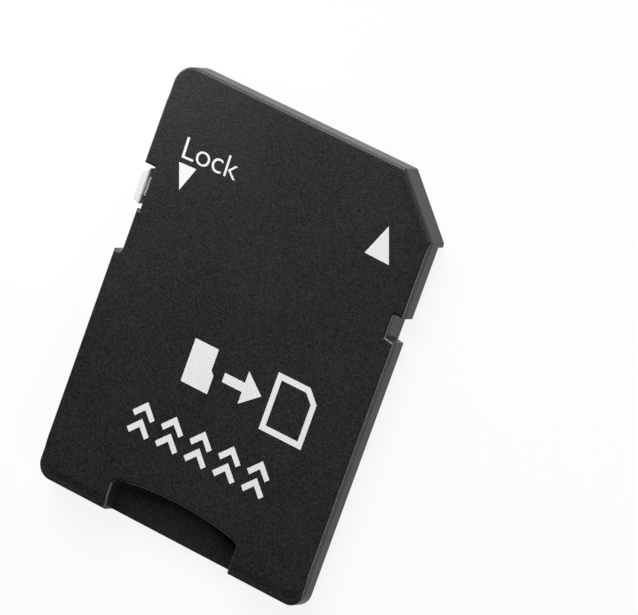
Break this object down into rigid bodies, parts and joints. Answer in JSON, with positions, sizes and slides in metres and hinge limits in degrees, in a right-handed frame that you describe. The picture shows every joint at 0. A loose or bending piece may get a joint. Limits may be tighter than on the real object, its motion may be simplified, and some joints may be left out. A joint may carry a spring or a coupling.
{
  "type": "memory card adapter",
  "caption": "Flat black adapter case of the full memory card size that takes one small memory card in a rear slot, with gold contacts and a sliding lock.",
  "frame": {"origin": "middle of the contact side's flat land, on the surface that the card lies on", "axes": "+X towards the side with the cut corner, +Y towards the contacts end, +Z out of the label face"},
  "size_m": [0.024, 0.032, 0.0021],
  "materials": {
    "black_plastic": "fine moulded grain, satin",
    "grey_plastic": "smooth satin",
    "gold_plate": "thin bright gold over a stamped copper alloy strip",
    "white_ink": "white pad-printed ink on the label field, about a hundredth of a millimetre thick"
  },
  "bodies": {
    "case": {"top_cover": "black_plastic", "bottom_shell": "black_plastic", "contact_bar": "black_plastic", "data2_contact": "gold_plate", "data3_contact": "gold_plate", "command_contact": "gold_plate", "ground_contact": "gold_plate", "supply_contact": "gold_plate", "clock_contact": "gold_plate", "data0_contact": "gold_plate", "data1_contact": "gold_plate"},
    "lock": {"lock_slider": "grey_plastic"}
  },
  "joints": [
    {"name": "lock_slide", "type": "slide", "parent": "case", "child": "lock", "axis": [0, -1, 0], "range_m": [0, 0.00347]}
  ]
}
